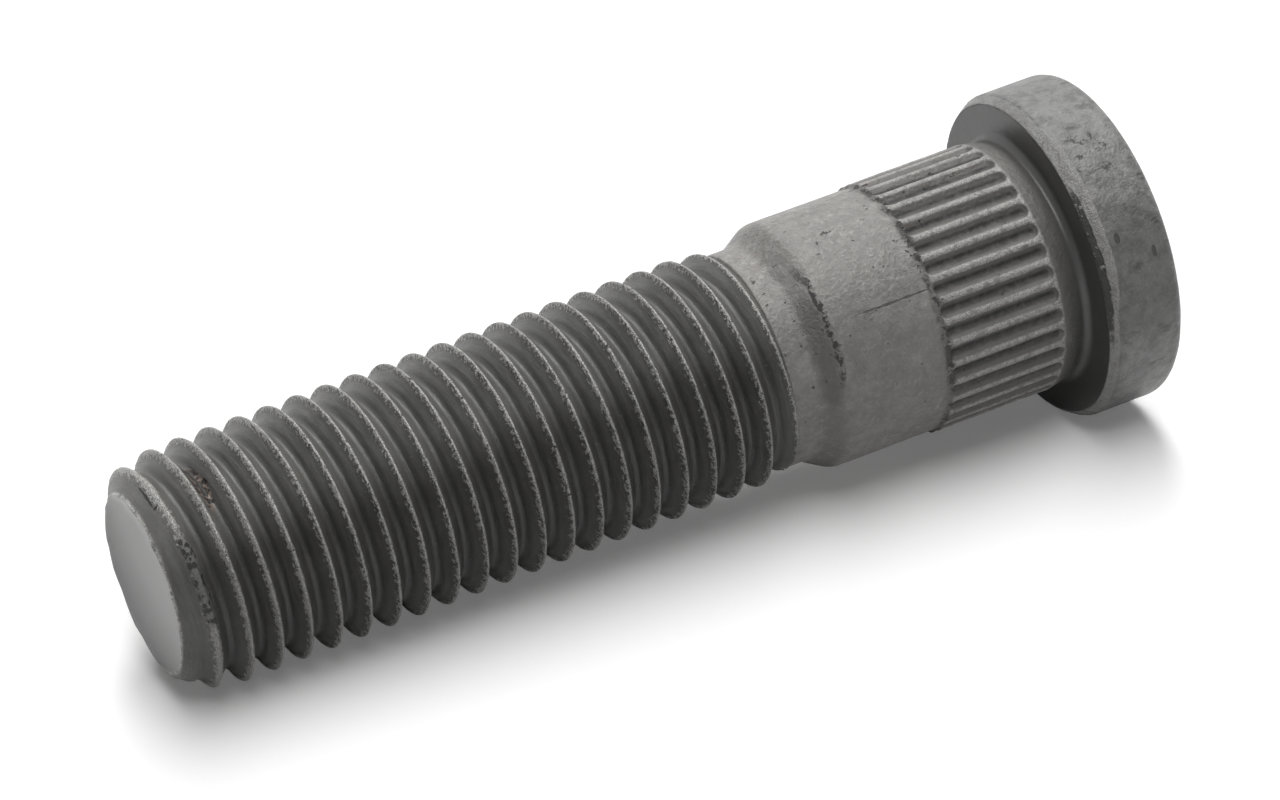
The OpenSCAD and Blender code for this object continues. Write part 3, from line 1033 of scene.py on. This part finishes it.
def hang_lamps(stage, up):
    """A row of lamps across the bolt, so that its shadow is wide across it and short along it."""
    look = Vector(stage.look)
    away = (look - up * up.dot(look)).normalized()
    axis = (Vector((0.0, 0.0, 1.0)) - up * up.z).normalized()
    for step in range(LAMPS):
        lean = math.tan(stage.behind + (step - LAMPS // 2) * stage.apart)
        lamp = up + away * lean - axis * math.tan(stage.beside)
        soft_lamp(-lamp, stage.key / LAMPS, stage.spread)


def place_camera(stage):
    """The camera that took the photograph, fitted to the bolt's outline and crests."""
    camera = bpy.data.cameras.new("camera")
    camera.lens = stage.lens
    camera.sensor_width = 36.0
    camera.clip_start, camera.clip_end = 0.01, 10.0
    holder = bpy.data.objects.new("camera", camera)
    holder.matrix_world = look_from(stage.place, stage.look, stage.top)
    bpy.context.scene.collection.objects.link(holder)
    bpy.context.scene.camera = holder


class WHEELBOLT_OT_threaded_end(bpy.types.Operator):
    """Winds the rolled thread, from the torn edge of the neck to the crowned end face"""

    bl_idname = "wheel_bolt.threaded_end"
    bl_label = "Threaded End"

    def execute(self, context):
        thread = context.scene.bolt_thread
        section = thread_section(thread)
        piece = section_piece("threaded_end", section)
        coat = ThreadCoat(thread, context.scene.bolt_finish).build()
        wind_thread(thread, section, coat).run(piece)
        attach(piece, BODY)
        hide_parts("wheel_bolt")
        return {"FINISHED"}


class WHEELBOLT_OT_splined_body(bpy.types.Operator):
    """Turns the head, the splined collar, the pilot shank and the neck in one piece"""

    bl_idname = "wheel_bolt.splined_body"
    bl_label = "Splined Body"

    def execute(self, context):
        body = context.scene.bolt_body
        top = context.scene.bolt_thread.neck_edge / MM
        section = [*head_section(body), *collar_section(body), *shank_section(body, top)]
        piece = section_piece("splined_body", section)
        coat = BodyCoat(body, context.scene.bolt_finish).build()
        turn_body(body, section, coat).run(piece)
        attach(piece, BODY)
        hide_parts("wheel_bolt")
        return {"FINISHED"}


class WHEELBOLT_OT_stage(bpy.types.Operator):
    """Lays the paper under the bolt and sets up the lamps, the surround and the camera"""

    bl_idname = "wheel_bolt.stage"
    bl_label = "Stage"

    def execute(self, context):
        stage = context.scene.bolt_stage
        up = floor_normal(stage, context.scene.bolt_thread.diameter / 2)
        lay_paper(stage, up)
        surround(stage)
        hang_lamps(stage, up)
        place_camera(stage)
        context.scene.view_settings.view_transform = "Standard"
        return {"FINISHED"}


class WHEELBOLT_PT_panel(bpy.types.Panel):
    """Lists the pieces of the wheel bolt and their sizes"""

    bl_idname = "WHEELBOLT_PT_panel"
    bl_label = "Wheel Bolt"
    bl_space_type = "VIEW_3D"
    bl_region_type = "UI"
    bl_category = "Wheel Bolt"

    def draw(self, context):
        for operator, group in (
            (WHEELBOLT_OT_threaded_end, "bolt_thread"),
            (WHEELBOLT_OT_splined_body, "bolt_body"),
            (WHEELBOLT_OT_stage, "bolt_stage"),
            (None, "bolt_finish"),
        ):
            box = self.layout.box()
            values = getattr(context.scene, group)
            for name in values.bl_rna.properties.keys():
                if name not in {"rna_type", "name"}:
                    box.prop(values, name)
            if operator:
                box.operator(operator.bl_idname)


GROUPS = {
    "bolt_thread": BoltThread,
    "bolt_body": BoltBody,
    "bolt_finish": BoltFinish,
    "bolt_stage": BoltStage,
}
CLASSES = (
    *GROUPS.values(),
    WHEELBOLT_OT_threaded_end,
    WHEELBOLT_OT_splined_body,
    WHEELBOLT_OT_stage,
    WHEELBOLT_PT_panel,
)


def register():
    for made in CLASSES:
        bpy.utils.register_class(made)
    for name, group in GROUPS.items():
        setattr(bpy.types.Scene, name, bpy.props.PointerProperty(type=group))


def unregister():
    for name in GROUPS:
        delattr(bpy.types.Scene, name)
    for made in reversed(CLASSES):
        bpy.utils.unregister_class(made)


def main():
    register()
    bpy.ops.wheel_bolt.threaded_end()
    bpy.ops.wheel_bolt.splined_body()
    bpy.ops.wheel_bolt.stage()


if __name__ == "__main__":
    main()
